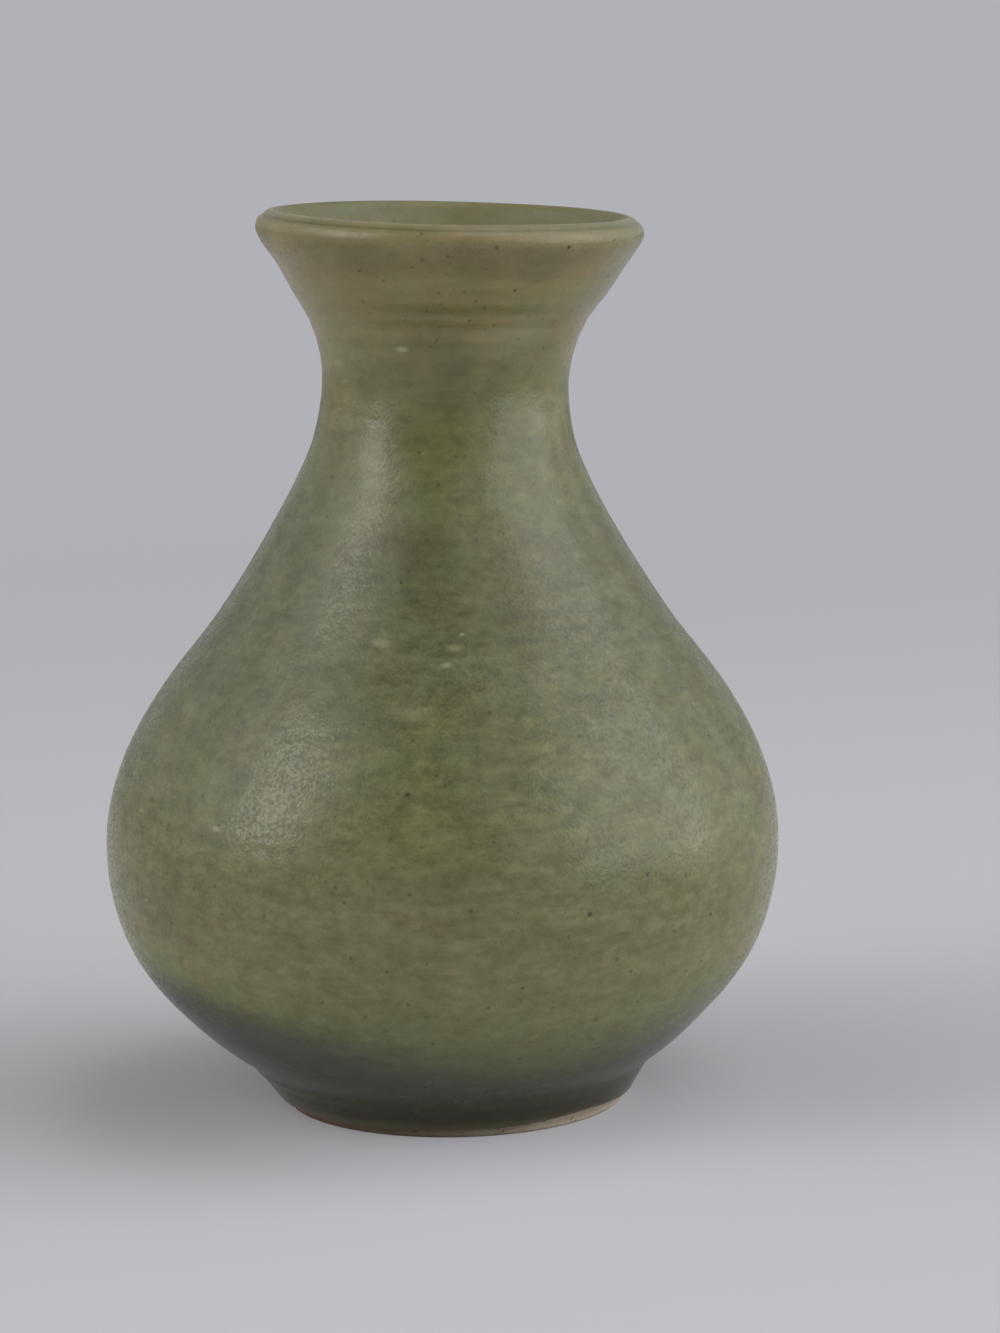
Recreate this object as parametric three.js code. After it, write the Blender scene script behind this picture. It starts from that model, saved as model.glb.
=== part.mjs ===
// A small hand-thrown stoneware vase: one turned clay body, a glaze coat outside and a liner glaze inside.
// Millimetres and degrees. +Z is up, and the origin is on the standing plane, below the middle of the belly.
import * as THREE from 'three';
import { mergeVertices } from 'three/addons/utils/BufferGeometryUtils.js';

// Outside of the clay in stacked zones, from the standing face up. Each rise starts where the last one ends.
const footHeight = 6.6;
const bowlRise = 30.1;
const shoulderRise = 60;
const flareRise = 23.3;

// Radii of the clay, measured from the pot's own axis.
const footRadius = 23;
const footTopRadius = 26.9;
const bellyRadius = 44.9;
const neckRadius = 15.9;
const lipRadius = 25.2;

// How the outline leaves and meets those radii: slopes above the horizontal, and how far each pull reaches.
const bowlSlope = 39;
const bowlReach = 7.2;
const bellyFullnessBelow = 17.9;
const bellyFullnessAbove = 18.2;
const neckReachBelow = 19.5;
const neckReachAbove = 10.8;
const flareSlope = 66;
const flareReach = 5.4;

// Roundings of the foot's edge and of the rolled lip, which turns over outwards and drops sharply inside.
const footEdge = 0.8;
const lipRoll = 1.8;
const lipInnerRoll = 0.7;

// Throwing rings that the fingertips left in the flare, counted from a rise above the neck.
const ringRise = 6;
const ringPitch = 2.5;
const ringCount = 3;
const ringDepth = 0.15;

// Inside of the clay: walls measured sideways, and the floor.
const neckWall = 3.1;
const bellyWall = 4;
const floorThickness = 4.8;
const floorRadius = 11;
const floorReach = 12;
const innerFullnessBelow = 17;

// Underside, turned away inside a foot ring.
const recessDepth = 1.5;
const recessTaper = 1.3;
const footRingWidth = 4.2;

// Glaze coats. Both run thin over the lip, and the outer one stops above the standing edge, on bare clay.
const outerCoat = 0.5;
const linerCoat = 0.45;
const lipCoat = 0.3;
const lipThinning = 4;
const glazeLineCoat = 0.2;
const glazeLineThinning = 1.5;
const bareBand = 0.4;
const bondGap = 0.02;

// The lean of a pot made by hand: how far its axis has moved at the crest and the base, and the mouth's dip.
// It grows with a power of the way from the belly: gently up to the mouth, late and quickly down to the foot.
const mouthShift = 2.7;
const mouthShiftPower = 2;
const footShift = 1.25;
const footShiftPower = 4;
const mouthDip = 2.2;

// Facets: steps round the pot, and along each stretch of the outline.
const turnSteps = 40;
const bowlSteps = 7;
const shoulderSteps = 8;
const neckSteps = 2;
const ringSteps = 4;
const mouthSteps = 3;
const rollSteps = 4;
const innerRollSteps = 2;
const edgeSteps = 2;
const innerFlareSteps = 6;
const innerShoulderSteps = 7;
const innerBowlSteps = 7;
const levelHalvings = 40;

const stonewareColour = 0x8f6f52;
const outerGlazeColour = 0x74765a;
const linerGlazeColour = 0x6f7354;
const stonewareRoughness = 0.85;
const glazeRoughness = 0.42;

const radians = THREE.MathUtils.degToRad;

/** A point of a turned profile: its radius and its height. */
function at(radius, z) {
  return new THREE.Vector2(radius, z);
}

/** The point a length away from another one, along a slope above the horizontal. */
function along(point, length, slope) {
  return at(point.x + length * Math.cos(radians(slope)), point.y + length * Math.sin(radians(slope)));
}

/** A cubic curve as points, without its first one, so that stretches join end to end. */
function sweep(start, startHandle, endHandle, end, steps) {
  return new THREE.CubicBezierCurve(start, startHandle, endHandle, end).getPoints(steps).slice(1);
}

/** An arc between two angles as points, without its first one. */
function arc(centre, radius, fromAngle, toAngle, steps) {
  const turn = (toAngle - fromAngle) / steps;
  return Array.from({ length: steps }, (_, i) => along(centre, radius, fromAngle + turn * (i + 1)));
}

/** The heights of equal steps from one height to another, without the first one. */
function levels(from, to, steps) {
  return Array.from({ length: steps }, (_, i) => from + (to - from) * (i + 1) / steps);
}

/** The point of a rising curve at a height, found by halving the stretch that holds it. */
function atLevel(curve, z) {
  let low = 0;
  let high = 1;
  for (let halving = 0; halving < levelHalvings; halving += 1) {
    const middle = (low + high) / 2;
    if (curve.getPoint(middle).y < z) {
      low = middle;
    } else {
      high = middle;
    }
  }
  return curve.getPoint(high);
}

/** The outward normals of a profile that climbs the outside and comes down the inside. */
function outward(profile) {
  return profile.map((_, i) => {
    const before = profile[Math.max(i - 1, 0)];
    const after = profile[Math.min(i + 1, profile.length - 1)];
    return at(after.y - before.y, before.x - after.x).normalize();
  });
}

/** A profile moved out of the clay by a distance worked out for each of its points. */
function raised(profile, distance) {
  const normals = outward(profile);
  return profile.map((point, i) => point.clone().addScaledVector(normals[i], distance(point)));
}

const bellyHeight = footHeight + bowlRise;
const neckHeight = bellyHeight + shoulderRise;
const height = neckHeight + flareRise;
const crest = at(lipRadius - lipRoll, height);

/** How far the fingertips have pressed the flare in at a height: rounded rings, none outside their band. */
function ringPress(z) {
  const turns = (z - neckHeight - ringRise) / ringPitch;
  const pressed = turns > 0 && turns < ringCount;
  return pressed ? ringDepth * (1 - Math.cos(2 * Math.PI * turns)) / 2 : 0;
}

/** The underside and the foot's rounded edge, from the axis out to the foot's side. */
function underside() {
  const standingRadius = footRadius - footEdge;
  const recessRadius = standingRadius - footRingWidth;
  return [
    at(0, recessDepth),
    at(recessRadius - recessTaper, recessDepth),
    at(recessRadius, 0),
    at(standingRadius, 0),
    ...arc(at(standingRadius, footEdge), footEdge, -90, 0, edgeSteps),
  ];
}

/** The outside that the glaze covers, from the glaze line on the foot's side up to the lip's crest. */
function outside() {
  const footTop = at(footTopRadius, footHeight);
  const belly = at(bellyRadius, bellyHeight);
  const neck = at(neckRadius, neckHeight);
  const rollCentre = at(crest.x, height - lipRoll);
  const flareTop = along(rollCentre, lipRoll, flareSlope - 90);
  const glazeLine = at(footRadius, footEdge).lerp(footTop, bareBand / (footHeight - footEdge));
  const flare = new THREE.CubicBezierCurve(
    neck,
    at(neckRadius, neckHeight + neckReachAbove),
    along(flareTop, -flareReach, flareSlope),
    flareTop,
  );
  const ringsStart = neckHeight + ringRise;
  const ringsEnd = ringsStart + ringCount * ringPitch;
  const flarePoints = [
    ...levels(neckHeight, ringsStart, neckSteps),
    ...levels(ringsStart, ringsEnd, ringCount * ringSteps),
    ...levels(ringsEnd, flareTop.y, mouthSteps),
  ].map((z) => atLevel(flare, z));
  return [
    glazeLine,
    footTop,
    ...sweep(
      footTop,
      along(footTop, bowlReach, bowlSlope),
      at(bellyRadius, bellyHeight - bellyFullnessBelow),
      belly,
      bowlSteps,
    ),
    ...sweep(
      belly,
      at(bellyRadius, bellyHeight + bellyFullnessAbove),
      at(neckRadius, neckHeight - neckReachBelow),
      neck,
      shoulderSteps,
    ),
    ...raised(flarePoints, (point) => -ringPress(point.y)),
    ...arc(rollCentre, lipRoll, flareSlope - 90, 90, rollSteps),
  ];
}

/** The inside, from just past the lip's crest down to the middle of the floor. */
function inside() {
  const rollCentre = at(crest.x, height - lipInnerRoll);
  const flareTop = along(rollCentre, lipInnerRoll, flareSlope + 90);
  const innerNeckRadius = neckRadius - neckWall;
  const innerBellyRadius = bellyRadius - bellyWall;
  const floorHeight = recessDepth + floorThickness;
  return [
    ...arc(rollCentre, lipInnerRoll, 90, flareSlope + 90, innerRollSteps),
    ...sweep(
      flareTop,
      along(flareTop, -flareReach, flareSlope),
      at(innerNeckRadius, neckHeight + neckReachAbove),
      at(innerNeckRadius, neckHeight),
      innerFlareSteps,
    ),
    ...sweep(
      at(innerNeckRadius, neckHeight),
      at(innerNeckRadius, neckHeight - neckReachBelow),
      at(innerBellyRadius, bellyHeight + bellyFullnessAbove),
      at(innerBellyRadius, bellyHeight),
      innerShoulderSteps,
    ),
    ...sweep(
      at(innerBellyRadius, bellyHeight),
      at(innerBellyRadius, bellyHeight - innerFullnessBelow),
      at(floorRadius + floorReach, floorHeight),
      at(floorRadius, floorHeight),
      innerBowlSteps,
    ),
    at(0, floorHeight),
  ];
}

/** A coat's thickness at a point: full on the walls, and thin over the lip. */
function coatAt(point, full) {
  return THREE.MathUtils.lerp(lipCoat, full, THREE.MathUtils.smoothstep(height - point.y, 0, lipThinning));
}

/** The outer coat's thickness at a point, which also runs thin towards the glaze line. */
function outerCoatAt(point) {
  const above = THREE.MathUtils.smoothstep(point.y - footEdge - bareBand, 0, glazeLineThinning);
  return THREE.MathUtils.lerp(glazeLineCoat, coatAt(point, outerCoat), above);
}

/** Moves each level sideways, and dips the mouth towards +X, both growing away from the belly. */
function lean(geometry) {
  const position = geometry.getAttribute('position');
  for (let i = 0; i < position.count; i += 1) {
    const x = position.getX(i);
    const z = position.getZ(i);
    const rise = (Math.max(z - bellyHeight, 0) / (height - bellyHeight)) ** mouthShiftPower;
    const drop = (Math.max(bellyHeight - z, 0) / bellyHeight) ** footShiftPower;
    position.setX(i, x + mouthShift * rise + footShift * drop);
    position.setZ(i, z - x * Math.sin(radians(mouthDip)) * rise);
  }
}

/** A solid turned from a profile on the wheel, then leaned as the whole pot is. */
function turned(name, profile, color, roughness) {
  const lathe = new THREE.LatheGeometry(profile, turnSteps);
  lathe.deleteAttribute('normal');
  lathe.deleteAttribute('uv');
  const geometry = mergeVertices(lathe.rotateX(Math.PI / 2));
  lean(geometry);
  geometry.computeVertexNormals();
  const mesh = new THREE.Mesh(geometry, new THREE.MeshStandardMaterial({ color, roughness, metalness: 0 }));
  mesh.name = name;
  return mesh;
}

// The glazed skin of the clay in one run, so that both coats share the crest's normal and meet there.
const outerSkin = outside();
const skin = [...outerSkin, ...inside()];
const crestIndex = outerSkin.length - 1;
const clayFace = raised(skin, () => bondGap);
const outerFace = raised(skin, (point) => bondGap + outerCoatAt(point));
const linerFace = raised(skin, (point) => bondGap + coatAt(point, linerCoat));

/** The coat on the outside, closed on itself from the glaze line to the crest and back down the clay. */
function outerGlaze() {
  const profile = [
    ...outerFace.slice(0, crestIndex + 1),
    ...clayFace.slice(0, crestIndex + 1).reverse(),
    outerFace[0].clone(),
  ];
  return turned('outer_glaze', profile, outerGlazeColour, glazeRoughness);
}

/** The poured coat on the inside, from the floor's middle up the clay to the crest and back down. */
function linerGlaze() {
  const besideOuter = (point) => at(point.x - bondGap, point.y);
  const profile = [
    ...clayFace.slice(crestIndex + 1).reverse(),
    besideOuter(clayFace[crestIndex]),
    besideOuter(linerFace[crestIndex]),
    ...linerFace.slice(crestIndex + 1),
  ];
  return turned('liner_glaze', profile, linerGlazeColour, glazeRoughness);
}

/** The thrown and turned clay. */
function stonewareBody() {
  return turned('stoneware_body', [...underside(), ...skin], stonewareColour, stonewareRoughness);
}

const vase = new THREE.Group();
vase.name = 'vase';
vase.add(stonewareBody(), outerGlaze(), linerGlaze());

export default vase;
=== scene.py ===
"""Looks of a small hand-thrown stoneware vase: its clay, its two glaze coats, studio light and camera.

Sizes of the pot are real millimetres, and MM turns them to metres where a mesh or a pattern is made.
The pot is one outline turned about an upright axis. A place on its skin is given by two numbers: the way
along the outline, in millimetres from the middle of the underside, and the angle round the axis.
"""

import math

import bpy
import numpy as np
from mathutils import Matrix, Vector


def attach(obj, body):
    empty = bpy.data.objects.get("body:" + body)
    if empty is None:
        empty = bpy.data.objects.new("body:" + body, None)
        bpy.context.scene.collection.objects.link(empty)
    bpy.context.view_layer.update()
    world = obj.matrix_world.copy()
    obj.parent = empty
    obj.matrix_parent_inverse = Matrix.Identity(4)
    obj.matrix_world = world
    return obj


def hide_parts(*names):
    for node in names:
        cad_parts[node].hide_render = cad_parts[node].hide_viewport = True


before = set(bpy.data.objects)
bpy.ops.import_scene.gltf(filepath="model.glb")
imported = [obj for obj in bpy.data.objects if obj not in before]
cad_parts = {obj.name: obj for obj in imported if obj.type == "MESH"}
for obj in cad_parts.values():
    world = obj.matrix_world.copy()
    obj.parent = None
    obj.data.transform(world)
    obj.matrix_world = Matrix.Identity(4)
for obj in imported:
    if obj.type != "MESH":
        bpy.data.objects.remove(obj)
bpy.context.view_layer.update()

MM = 0.001

# Outside of the clay in stacked zones, from the standing face up.
FOOT_HEIGHT = 6.6
BOWL_RISE = 30.1
SHOULDER_RISE = 60
FLARE_RISE = 23.3
BELLY_HEIGHT = FOOT_HEIGHT + BOWL_RISE
NECK_HEIGHT = BELLY_HEIGHT + SHOULDER_RISE
HEIGHT = NECK_HEIGHT + FLARE_RISE

# Radii of the clay, and how the outline leaves and meets them.
FOOT_RADIUS = 23
FOOT_TOP_RADIUS = 26.9
BELLY_RADIUS = 44.9
NECK_RADIUS = 15.9
LIP_RADIUS = 25.2
BOWL_SLOPE = math.radians(39)
BOWL_REACH = 7.2
BELLY_FULLNESS_BELOW = 17.9
BELLY_FULLNESS_ABOVE = 18.2
NECK_REACH_BELOW = 19.5
NECK_REACH_ABOVE = 10.8
FLARE_SLOPE = math.radians(66)
FLARE_REACH = 5.4
FOOT_EDGE = 0.8
LIP_ROLL = 1.8
LIP_INNER_ROLL = 0.7

# Inside of the clay and its turned underside.
NECK_WALL = 3.1
BELLY_WALL = 4
FLOOR_HEIGHT = 6.3
FLOOR_RADIUS = 11
FLOOR_REACH = 12
INNER_FULLNESS_BELOW = 17
RECESS_DEPTH = 1.5
RECESS_TAPER = 1.3
FOOT_RING_WIDTH = 4.2

# Finger rings pressed into the flare.
RING_RISE = 6
RING_PITCH = 2.5
RING_COUNT = 3
RING_DEPTH = 0.1

# Glaze coats on the clay, thinner over the lip. The outer one ends above the foot's edge, where a bare band
# rises from the left to the right. It is rounded off at its line, with a low bead above.
OUTER_COAT = 0.5
LINER_COAT = 0.45
LIP_COAT = 0.3
LIP_THINNING = 4
BOND_GAP = 0.02
BARE_BAND = 0.15
BARE_RISE = 1.25
LEAST_BARE = 0.05
LINE_ROUNDING = 0.55
LINE_BEAD = 0.03
LINE_BEAD_RISE = 0.7
LINE_BEAD_REACH = 0.6
NOTCH_POOL = 0.06
NOTCH_POOL_REACH = 0.7

# Groove that the finger left along the lip, the bead below it, and the ridge that the turning tool left on
# the foot. Drops are ways along the outline from the crest, and from the notch above the foot.
GROOVE_DEPTH = 0.18
GROOVE_DROP = 1.4
GROOVE_REACH = 0.36
BEAD_HEIGHT = 0.05
BEAD_DROP = 2.15
BEAD_REACH = 0.4
RIDGE_HEIGHT = 0.08
RIDGE_DROP = 1.6
RIDGE_REACH = 0.4
RIDGE_TURN = 0.35

# The lean of a pot made by hand, which grows with a power of the way from the belly.
MOUTH_SHIFT = 2.7
MOUTH_SHIFT_POWER = 2
FOOT_SHIFT = 1.25
FOOT_SHIFT_POWER = 4
MOUTH_DIP = math.radians(2.2)

# How finely the skin is cut: steps round the pot, and along each stretch of the outline. The coat's first
# LINE_BAND millimetres have rows of their own, and the liner's rows lie closer together near the lip.
TURN_STEPS = 288
OUTER_STEPS = 296
EDGE_STEPS = 12
LINE_BAND = 0.6
LINER_STEPS = 190
LINER_STEP_POWER = 1.15
UNDERSIDE_STEPS = {"underside": 24, "recess": 6, "standing": 12, "edge": 8}
LINE_STEPS = 6
HIDDEN_STEPS = 24
OUTLINE_STEPS = 600
SHARP_ANGLE = math.radians(35)


def cubic(start, start_handle, end_handle, end):
    """Points of a cubic curve: its four control points weighted by the cubic's blending terms."""
    t = np.linspace(0, 1, OUTLINE_STEPS)[:, None]
    points = [np.array(p, float) for p in (start, start_handle, end_handle, end)]
    weights = ((1 - t) ** 3, 3 * t * (1 - t) ** 2, 3 * t**2 * (1 - t), t**3)
    return sum(w * p for w, p in zip(weights, points))


def arc(centre, radius, start, end):
    """Points of an arc: centre plus radius times cosine and sine of an angle from start to end."""
    angle = np.linspace(start, end, OUTLINE_STEPS // 4)
    return np.stack([centre[0] + radius * np.cos(angle), centre[1] + radius * np.sin(angle)], 1)


def straight(start, end):
    """Points of a straight line between two points."""
    return np.linspace(start, end, OUTLINE_STEPS // 4)


def along(point, length, angle):
    """The point a length away from another one, at an angle above the horizontal."""
    return (point[0] + length * math.cos(angle), point[1] + length * math.sin(angle))


def clay_outline():
    """The clay's whole outline as stretches of (radius, height), from the underside's middle to the floor's:
    cubic curves between belly, neck and flare, arcs at the foot's edge and the lip, and straight lines."""
    standing = FOOT_RADIUS - FOOT_EDGE
    recess = standing - FOOT_RING_WIDTH
    foot_top = (FOOT_TOP_RADIUS, FOOT_HEIGHT)
    belly = (BELLY_RADIUS, BELLY_HEIGHT)
    neck = (NECK_RADIUS, NECK_HEIGHT)
    crest_radius = LIP_RADIUS - LIP_ROLL
    roll = (crest_radius, HEIGHT - LIP_ROLL)
    inner_roll = (crest_radius, HEIGHT - LIP_INNER_ROLL)
    flare_top = along(roll, LIP_ROLL, FLARE_SLOPE - math.pi / 2)
    inner_flare_top = along(inner_roll, LIP_INNER_ROLL, FLARE_SLOPE + math.pi / 2)
    inner_neck = (NECK_RADIUS - NECK_WALL, NECK_HEIGHT)
    inner_belly = (BELLY_RADIUS - BELLY_WALL, BELLY_HEIGHT)
    floor_edge = (FLOOR_RADIUS, FLOOR_HEIGHT)
    return {
        "underside": straight((0, RECESS_DEPTH), (recess - RECESS_TAPER, RECESS_DEPTH)),
        "recess": straight((recess - RECESS_TAPER, RECESS_DEPTH), (recess, 0)),
        "standing": straight((recess, 0), (standing, 0)),
        "edge": arc((standing, FOOT_EDGE), FOOT_EDGE, -math.pi / 2, 0),
        "foot": straight((FOOT_RADIUS, FOOT_EDGE), foot_top),
        "bowl": cubic(
            foot_top,
            along(foot_top, BOWL_REACH, BOWL_SLOPE),
            (BELLY_RADIUS, BELLY_HEIGHT - BELLY_FULLNESS_BELOW),
            belly,
        ),
        "shoulder": cubic(
            belly,
            (BELLY_RADIUS, BELLY_HEIGHT + BELLY_FULLNESS_ABOVE),
            (NECK_RADIUS, NECK_HEIGHT - NECK_REACH_BELOW),
            neck,
        ),
        "flare": cubic(
            neck,
            (NECK_RADIUS, NECK_HEIGHT + NECK_REACH_ABOVE),
            along(flare_top, -FLARE_REACH, FLARE_SLOPE),
            flare_top,
        ),
        "roll": arc(roll, LIP_ROLL, FLARE_SLOPE - math.pi / 2, math.pi / 2),
        "inner_roll": arc(inner_roll, LIP_INNER_ROLL, math.pi / 2, FLARE_SLOPE + math.pi / 2),
        "inner_flare": cubic(
            inner_flare_top,
            along(inner_flare_top, -FLARE_REACH, FLARE_SLOPE),
            (inner_neck[0], NECK_HEIGHT + NECK_REACH_ABOVE),
            inner_neck,
        ),
        "inner_shoulder": cubic(
            inner_neck,
            (inner_neck[0], NECK_HEIGHT - NECK_REACH_BELOW),
            (inner_belly[0], BELLY_HEIGHT + BELLY_FULLNESS_ABOVE),
            inner_belly,
        ),
        "inner_bowl": cubic(
            inner_belly,
            (inner_belly[0], BELLY_HEIGHT - INNER_FULLNESS_BELOW),
            along(floor_edge, FLOOR_REACH, 0),
            floor_edge,
        ),
        "floor": straight(floor_edge, (0, FLOOR_HEIGHT)),
    }


class Outline:
    """The clay's outline measured along its length: radius, height and outward normal at each way along."""

    def __init__(self, stretches):
        points = []
        self.ends = {}
        way = 0.0
        for name, stretch in stretches.items():
            way += np.hypot(*np.diff(stretch, axis=0).T).sum()
            self.ends[name] = way
            points.append(stretch[1:] if points else stretch)
        self.points = np.concatenate(points)
        steps = np.hypot(*np.diff(self.points, axis=0).T)
        self.way = np.concatenate([[0], np.cumsum(steps)])
        direction = np.gradient(self.points, self.way, axis=0)
        direction /= np.hypot(*direction.T)[:, None]
        self.normals = np.stack([direction[:, 1], -direction[:, 0]], 1)

    def at(self, way):
        """Radius, height and the normal's two parts at each way, read off between the nearest points."""
        columns = (*self.points.T, *self.normals.T)
        return [np.interp(way, self.way, column) for column in columns]


OUTLINE = Outline(clay_outline())
EDGE_END = OUTLINE.ends["edge"]
NOTCH = OUTLINE.ends["foot"]
NECK = OUTLINE.ends["shoulder"]
CREST = OUTLINE.ends["roll"]
FLOOR_MIDDLE = OUTLINE.ends["floor"]

# Seed of the random draws, and how far the height of a random ripple strays from an even share.
SEED = 27
RIPPLE_SPREAD = (0.6, 1.4)

rng = np.random.default_rng(SEED)


def waves(count, shortest, longest, most_turns, height):
    """Random ripples for a skin: a list of (turns round the pot, radians per millimetre of way, phase,
    height). An even share of the height is the height over the square root of the count."""
    return [
        (
            rng.integers(-most_turns, most_turns + 1),
            2 * math.pi / rng.uniform(shortest, longest),
            rng.uniform(0, 2 * math.pi),
            height / math.sqrt(count) * rng.uniform(*RIPPLE_SPREAD),
        )
        for _ in range(count)
    ]


def rippled(way, angle, ripples):
    """Sum of ripples: each is its height times the sine of its turns times angle plus its rate times way."""
    total = np.zeros(np.broadcast(way, angle).shape)
    for turns, rate, phase, height in ripples:
        total += height * np.sin(turns * angle + rate * way + phase)
    return total


def ease(value):
    """Smooth step: 3 v squared less 2 v cubed, with v held between 0 and 1."""
    held = np.clip(value, 0, 1)
    return held * held * (3 - 2 * held)


def bump(value):
    """Bell curve: e to the power of minus the value squared."""
    return np.exp(-(value**2))


# Unevenness of hand work, in millimetres. Each of the wall's swells stands at a height, reaches so far up
# and down, and rises or sinks by so much on the left and on the right. Slow waves, fine throwing lines and
# ovals come on top. A ripple as long as ENDLESS changes round the pot only.
WALL_SWELLS = [
    (9, 2.5, 0.16, 0.16),
    (14.5, 2, -0.10, -0.10),
    (23, 4, 0.11, 0.11),
    (38.5, 5, -0.17, -0.17),
    (50, 5, 0.14, 0.14),
    (56, 8, 0, 0.28),
    (65, 5, -0.26, -0.26),
    (70, 8, -0.36, 0),
    (78, 5, 0.10, 0.10),
    (89, 2.5, -0.10, -0.10),
    (100, 4, -0.16, -0.16),
    (109, 2, 0.18, 0.18),
    (111, 2.5, 0.1, 0.34),
    (113.8, 1.5, -0.12, -0.02),
]
ENDLESS = (1e9, 2e9)
SWELLS = waves(14, 14, 60, 4, 0.03)
THROWING_LINES = waves(16, 1.5, 3.4, 1, 0.008)
THROWING_STRENGTH = waves(6, 12, 40, 2, 0.45)
RING_STRENGTH = waves(4, *ENDLESS, 3, 0.5)
OVAL = waves(3, 200, 400, 3, 0.05)
LIP_WANDER = waves(4, *ENDLESS, 4, 0.04)
LINE_WANDER = waves(5, *ENDLESS, 7, 0.2)

# Ways along the outline over which the unevenness comes in above the foot's edge and goes out on the floor.
SWELL_START = 12
WALL_SWELL_START = 3
SWELL_END = 40

# Throwing lines fade out at the notch and the crest, and are stronger above a place below the neck. A finger
# ring keeps between its faintest and its whole depth.
THROWING_FADE = 5
THROWING_LOW = 0.65
THROWING_GAIN = 0.6
THROWING_GAIN_DROP = 18
THROWING_GAIN_REACH = 20
RING_MIDDLE = 0.6
RING_FAINTEST = 0.15

# How far the fingers that rolled the lip pushed it left and down, and how much of the wall went along.
LIP_PRESS_LEFT = 0.25
LIP_PRESS_DOWN = 0.36
LIP_PRESS_REACH = 8


def rightness(angle):
    """0 on the left of the pot and 1 on the right: half of one plus the angle's cosine."""
    return (1 + np.cos(angle)) / 2


def swell(way, angle):
    """Slow unevenness of the clay: ripples and ovals, fading out on the floor, the underside and the foot.
    The outside also has the wall's swells: bell curves of the height, as high as their two sides say."""
    grown = ease((way - EDGE_END) / SWELL_START) * ease((FLOOR_MIDDLE - way) / SWELL_END)
    height = OUTLINE.at(way)[1]
    wall = sum(
        (left + (right - left) * rightness(angle)) * bump((height - level) / reach)
        for level, reach, left, right in WALL_SWELLS
    )
    outside = ease((way - EDGE_END) / WALL_SWELL_START) * (way < CREST)
    return grown * (rippled(way, angle, SWELLS) + rippled(way, angle, OVAL)) + outside * wall


def finger_rings(height, angle):
    """Rings pressed into the flare: a raised cosine of the height, none outside their band, and fading here
    and there round the pot."""
    turns = (height - NECK_HEIGHT - RING_RISE) / RING_PITCH
    pressed = (turns > 0) & (turns < RING_COUNT)
    strength = np.clip(RING_MIDDLE + rippled(0, angle, RING_STRENGTH), RING_FAINTEST, 1)
    return -RING_DEPTH * strength * (1 - np.cos(2 * math.pi * turns)) / 2 * pressed


def throwing_lines(way, angle):
    """Fine rings left by the fingers: short ripples times slow ones, so that they come and go, eased out at
    the notch and the crest and eased up towards the neck."""
    strength = 1 + rippled(way, angle, THROWING_STRENGTH)
    fade = ease((way - NOTCH) / THROWING_FADE) * ease(np.abs(way - CREST) / THROWING_FADE)
    risen = ease((way - NECK + THROWING_GAIN_DROP) / THROWING_GAIN_REACH) * (way < CREST)
    upper = THROWING_LOW + THROWING_GAIN * risen
    return rippled(way, angle, THROWING_LINES) * strength * fade * upper


def glaze_line(angle):
    """Way along the outline where the outer coat ends: the foot's edge plus the bare band, which rises with
    rightness and wanders by a ripple."""
    band = BARE_BAND + BARE_RISE * rightness(angle) + rippled(0, angle, LINE_WANDER)
    return EDGE_END + np.maximum(band, LEAST_BARE)


def outer_thickness(way, angle):
    """The outer coat: eased from thin over the lip to full, with bell curves for the pool in the notch and
    the bead at its line, times a quarter circle that rounds it off there."""
    over = way - glaze_line(angle)
    full = LIP_COAT + (OUTER_COAT - LIP_COAT) * ease((CREST - way) / LIP_THINNING)
    pool = NOTCH_POOL * bump((way - NOTCH) / NOTCH_POOL_REACH)
    bead = LINE_BEAD * bump((over - LINE_BEAD_RISE) / LINE_BEAD_REACH)
    rounding = np.sqrt(1 - (1 - np.clip(over / LINE_ROUNDING, 0, 1)) ** 2)
    return (full + pool + bead) * rounding


def liner_thickness(way):
    """The liner: eased from thin at the crest to full within a few millimetres."""
    return LIP_COAT + (LINER_COAT - LIP_COAT) * ease((way - CREST) / LIP_THINNING)


def lip_groove(way, angle):
    """Shallow groove between the crest and the roll's outer edge, with a bead below it: a bell curve of the
    way down from the crest for each. The groove's depth wanders by a ripple."""
    down = CREST - way
    depth = GROOVE_DEPTH + rippled(0, angle, LIP_WANDER)
    bead = BEAD_HEIGHT * bump((down - BEAD_DROP) / BEAD_REACH)
    return bead - depth * bump((down - GROOVE_DROP) / GROOVE_REACH)


def foot_ridge(way, angle):
    """Thin ridge across the foot: a bell curve of the way from its wandering place, twice its height on the
    left and none on the right, by one less the cosine of the angle."""
    place = NOTCH - RIDGE_DROP + rippled(0, angle, LINE_WANDER)
    return RIDGE_HEIGHT * (1 - np.cos(angle + RIDGE_TURN)) * bump((way - place) / RIDGE_REACH)


def leaned(points):
    """The whole pot's lean: each level slides towards +X, and the mouth dips, with a power of the distance
    from the belly. The last millimetres below the lip are pressed left and down by an eased share."""
    x, y, z = points[..., 0], points[..., 1], points[..., 2]
    rise = (np.maximum(z - BELLY_HEIGHT, 0) / (HEIGHT - BELLY_HEIGHT)) ** MOUTH_SHIFT_POWER
    drop = (np.maximum(BELLY_HEIGHT - z, 0) / BELLY_HEIGHT) ** FOOT_SHIFT_POWER
    slid = x + MOUTH_SHIFT * rise + FOOT_SHIFT * drop
    pressed = ease((z - HEIGHT + LIP_PRESS_REACH) / LIP_PRESS_REACH)
    sunk = z - x * math.sin(MOUTH_DIP) * rise
    return np.stack([slid - LIP_PRESS_LEFT * pressed, y, sunk - LIP_PRESS_DOWN * pressed], -1)


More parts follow.
